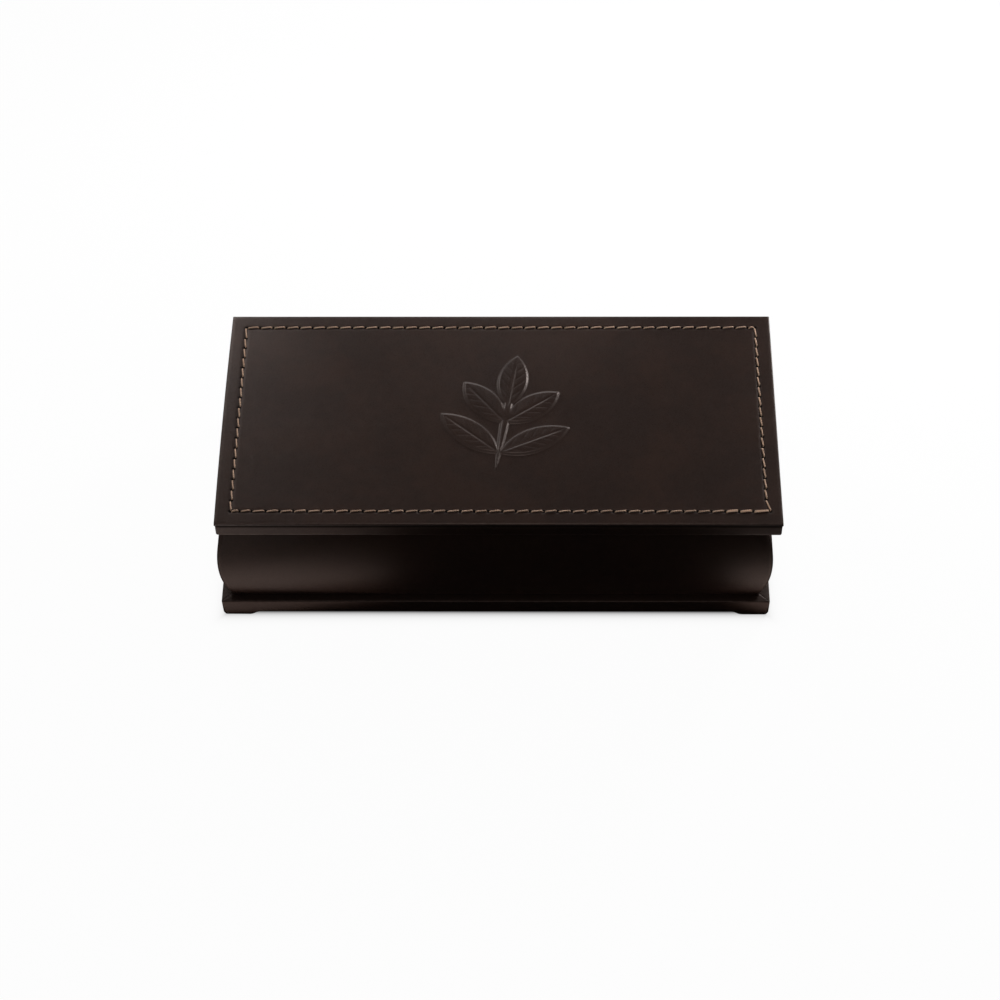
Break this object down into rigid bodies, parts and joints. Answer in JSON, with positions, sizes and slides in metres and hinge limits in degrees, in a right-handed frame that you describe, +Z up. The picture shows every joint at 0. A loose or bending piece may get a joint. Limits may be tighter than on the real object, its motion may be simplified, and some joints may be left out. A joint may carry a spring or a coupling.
{
  "type": "trinket box",
  "caption": "Hinged keepsake box: bulged leather-covered walls between a stitched, leather-wrapped lid and a wrapped plinth on low corner feet, suede-lined inside.",
  "frame": {"origin": "on the ground under the middle of the box's bounding box, standing on its feet with the lid shut", "axes": "+X to the right, seen from the front; +Y to the back, where the hinges are; +Z up"},
  "size_m": [0.2232, 0.1098, 0.0612],
  "materials": {
    "cover_leather": "dark brown, satin",
    "wrap_leather": "dark brown, satin",
    "sheet_leather": "dark brown, satin, fine grain",
    "board_wood": "bare plywood",
    "card": "grey fibre card",
    "suede": "tan suede, napped",
    "foam": "open-cell foam",
    "felt": "brown felt",
    "thread": "tan twisted thread",
    "hinge_brass": "satin, lacquered"
  },
  "bodies": {
    "case": {"cover_front": "cover_leather", "cover_back": "cover_leather", "cover_left": "cover_leather", "cover_right": "cover_leather", "plinth_wrap_front": "wrap_leather", "plinth_wrap_back": "wrap_leather", "plinth_wrap_left": "wrap_leather", "plinth_wrap_right": "wrap_leather", "plinth_board": "board_wood", "foot_pads": "board_wood", "floor_board": "board_wood", "wall_front": "board_wood", "wall_back": "board_wood", "wall_left": "board_wood", "wall_right": "board_wood", "floor_lining": "suede", "lining_front": "suede", "lining_back": "suede", "lining_left": "suede", "lining_right": "suede", "floor_foam": "foam", "underside_felt": "felt", "hinge_case_screws": "hinge_brass", "hinge_left_case_leaf": "hinge_brass", "hinge_left_pin": "hinge_brass", "hinge_right_case_leaf": "hinge_brass", "hinge_right_pin": "hinge_brass"},
    "lid": {"lid_board": "board_wood", "lid_wrap_front": "wrap_leather", "lid_wrap_back": "wrap_leather", "lid_wrap_left": "wrap_leather", "lid_wrap_right": "wrap_leather", "lid_top_sheet": "sheet_leather", "sprig_filler": "card", "border_stitching": "thread", "liner_board": "card", "liner_foam": "foam", "lid_liner": "suede", "hinge_left_lid_leaf": "hinge_brass", "hinge_right_lid_leaf": "hinge_brass", "hinge_lid_screws": "hinge_brass"}
  },
  "joints": [
    {"name": "lid_hinge", "type": "hinge", "parent": "case", "child": "lid", "pos_m": [0, 0.05297, 0.0528], "axis": [-1, 0, 0], "range_deg": [0, 95]}
  ]
}
